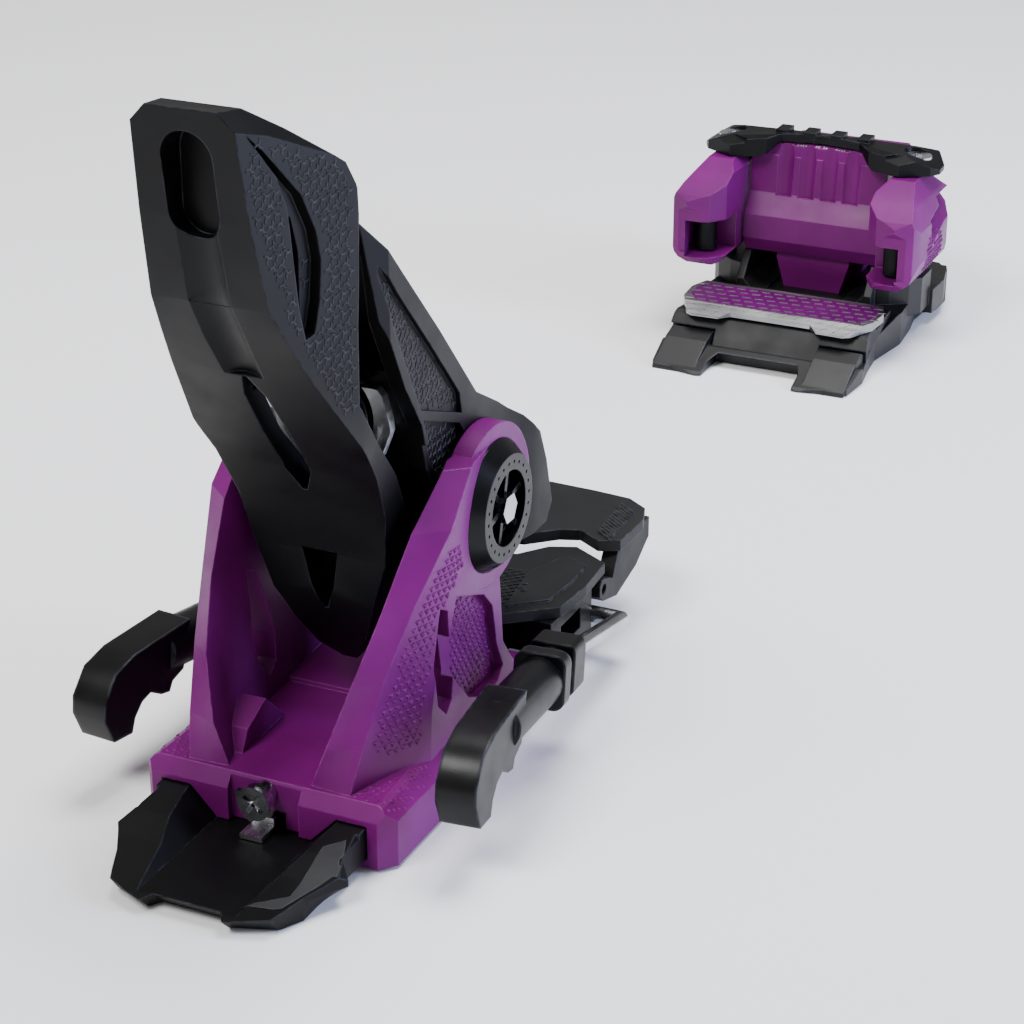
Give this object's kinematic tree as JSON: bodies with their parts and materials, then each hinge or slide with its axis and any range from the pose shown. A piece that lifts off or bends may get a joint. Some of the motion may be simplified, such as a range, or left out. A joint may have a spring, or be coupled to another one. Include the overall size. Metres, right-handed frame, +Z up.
{
  "type": "touring binding",
  "caption": "Ski touring binding with alpine-style toe wings and tall-levered heel unit on a sliding track, with a folding brake.",
  "frame": {"origin": "centre of the heel track's four screw holes, on the ski's top face", "axes": "+X to the right when facing the toe, +Y forward along the ski, +Z up from the ski's top face"},
  "size_m": [0.1086, 0.492, 0.1845],
  "materials": {
    "housing_purple": "satin",
    "toe_purple": "satin",
    "wing_purple": "satin",
    "track_black": "matte",
    "body_black": "matte",
    "lever_black": "matte",
    "plate_charcoal": "matte",
    "pedal_charcoal": "matte",
    "bracket_black": "matte",
    "grip_black": "matte",
    "toe_base_black": "matte",
    "bar_black": "matte",
    "carrier_black": "matte",
    "roller_black": "satin",
    "cap_black": "satin",
    "spring_cap_black": "satin",
    "chrome": "polished",
    "steel": "brushed",
    "frame_silver": "satin",
    "sole_silver": "satin",
    "inlay_purple": "satin",
    "spring_steel": "oiled",
    "clear_window": "clear",
    "nut_red": "matte"
  },
  "bodies": {
    "bases": {"heel_track": "track_black", "heel_rack": "steel", "toe_base": "toe_base_black", "toe_housing": "toe_purple", "toe_bar": "bar_black", "wing_axles": "steel", "toe_spring": "spring_steel", "toe_piston": "steel", "toe_window": "clear_window"},
    "carriage": {"heel_housing": "housing_purple", "pressure_marker": "steel", "heel_plate": "plate_charcoal", "brake_bracket": "bracket_black", "pedal_pins": "steel", "pivot_axle": "steel", "pivot_cap_right": "cap_black", "pivot_cap_left": "cap_black", "pivot_hub_screws": "chrome", "brake_spring": "spring_steel"},
    "adjuster": {"heel_adjust_screw": "chrome"},
    "heel": {"heel_body": "body_black", "spring_frame": "frame_silver", "heel_spring": "spring_steel", "heel_piston": "steel", "lever_pin": "steel"},
    "release_cap": {"spring_cap": "spring_cap_black"},
    "lever": {"heel_lever": "lever_black"},
    "brake": {"brake_wire": "chrome", "grip_collars": "grip_black", "brake_grips": "grip_black"},
    "pedal": {"brake_pedal": "pedal_charcoal"},
    "wing_right": {"toe_wing_right": "wing_purple", "roller_pin_right": "steel"},
    "wing_left": {"toe_wing_left": "wing_purple", "roller_pin_left": "steel"},
    "roller_right": {"toe_roller_right": "roller_black"},
    "roller_left": {"toe_roller_left": "roller_black"},
    "sole_carrier": {"afd_carrier": "carrier_black"},
    "sole_plate": {"afd_plate": "sole_silver", "afd_inlay": "inlay_purple"},
    "toe_adjuster": {"toe_screw": "bar_black"},
    "setting_nut": {"toe_nut": "nut_red"}
  },
  "joints": [
    {"name": "heel_slide", "type": "slide", "parent": "bases", "child": "carriage", "axis": [0, 1, 0], "range_m": [-0.01, 0.012]},
    {"name": "adjuster_turn", "type": "hinge", "parent": "carriage", "child": "adjuster", "pos_m": [0, -0.045, 0.0132], "axis": [0, 1, 0], "range_deg": [-1500, 1800]},
    {"name": "heel_swing", "type": "hinge", "parent": "carriage", "child": "heel", "pos_m": [0, 0.0198, 0.067], "axis": [1, 0, 0], "range_deg": [0, 42]},
    {"name": "lever_swing", "type": "hinge", "parent": "heel", "child": "lever", "pos_m": [0, -0.009, 0.073], "axis": [1, 0, 0], "range_deg": [0, 6], "stiffness_Nm_per_rad": 4},
    {"name": "release_cap_turn", "type": "hinge", "parent": "heel", "child": "release_cap", "pos_m": [0, -0.007, 0.097], "axis": [0, 1, 0], "range_deg": [-720, 720]},
    {"name": "brake_swing", "type": "hinge", "parent": "carriage", "child": "brake", "pos_m": [0, 0.0784, 0.0114], "axis": [1, 0, 0], "range_deg": [0, 45]},
    {"name": "pedal_swing", "type": "hinge", "parent": "carriage", "child": "pedal", "pos_m": [0, 0.083, 0.017], "axis": [1, 0, 0], "range_deg": [0, 26]},
    {"name": "wing_right_swing", "type": "hinge", "parent": "bases", "child": "wing_right", "pos_m": [0.0344, 0.358, 0.04], "axis": [0, 0, 1], "range_deg": [0, 25], "stiffness_Nm_per_rad": 6, "springref_deg": -1.15},
    {"name": "wing_left_swing", "type": "hinge", "parent": "bases", "child": "wing_left", "pos_m": [-0.0344, 0.358, 0.04], "axis": [0, 0, -1], "range_deg": [0, 25], "stiffness_Nm_per_rad": 6, "springref_deg": -1.15},
    {"name": "roller_right_spin", "type": "hinge", "parent": "wing_right", "child": "roller_right", "pos_m": [0.035, 0.335, 0.034], "axis": [0, 0, 1], "continuous": true},
    {"name": "roller_left_spin", "type": "hinge", "parent": "wing_left", "child": "roller_left", "pos_m": [-0.035, 0.335, 0.034], "axis": [0, 0, 1], "continuous": true},
    {"name": "sole_height", "type": "slide", "parent": "bases", "child": "sole_carrier", "axis": [0, 0.9816, 0.1908], "range_m": [0, 0.0035]},
    {"name": "sole_glide", "type": "slide", "parent": "sole_carrier", "child": "sole_plate", "axis": [1, 0, 0], "range_m": [-0.008, 0.008], "stiffness_N_per_m": 300},
    {"name": "toe_adjuster_turn", "type": "hinge", "parent": "bases", "child": "toe_adjuster", "pos_m": [0, 0.404, 0.044], "axis": [0, 1, 0], "range_deg": [0, 1085]},
    {"name": "setting_nut_slide", "type": "slide", "parent": "bases", "child": "setting_nut", "axis": [0, 1, 0], "range_m": [0, 0.006]}
  ],
  "couplings": [
    {"joint": "adjuster_turn", "follows": "heel_slide", "rad_per_m": 2513.3},
    {"joint": "pedal_swing", "follows": "brake_swing", "ratio": 0.55},
    {"joint": "toe_adjuster_turn", "follows": "setting_nut_slide", "rad_per_m": 3141.6}
  ]
}
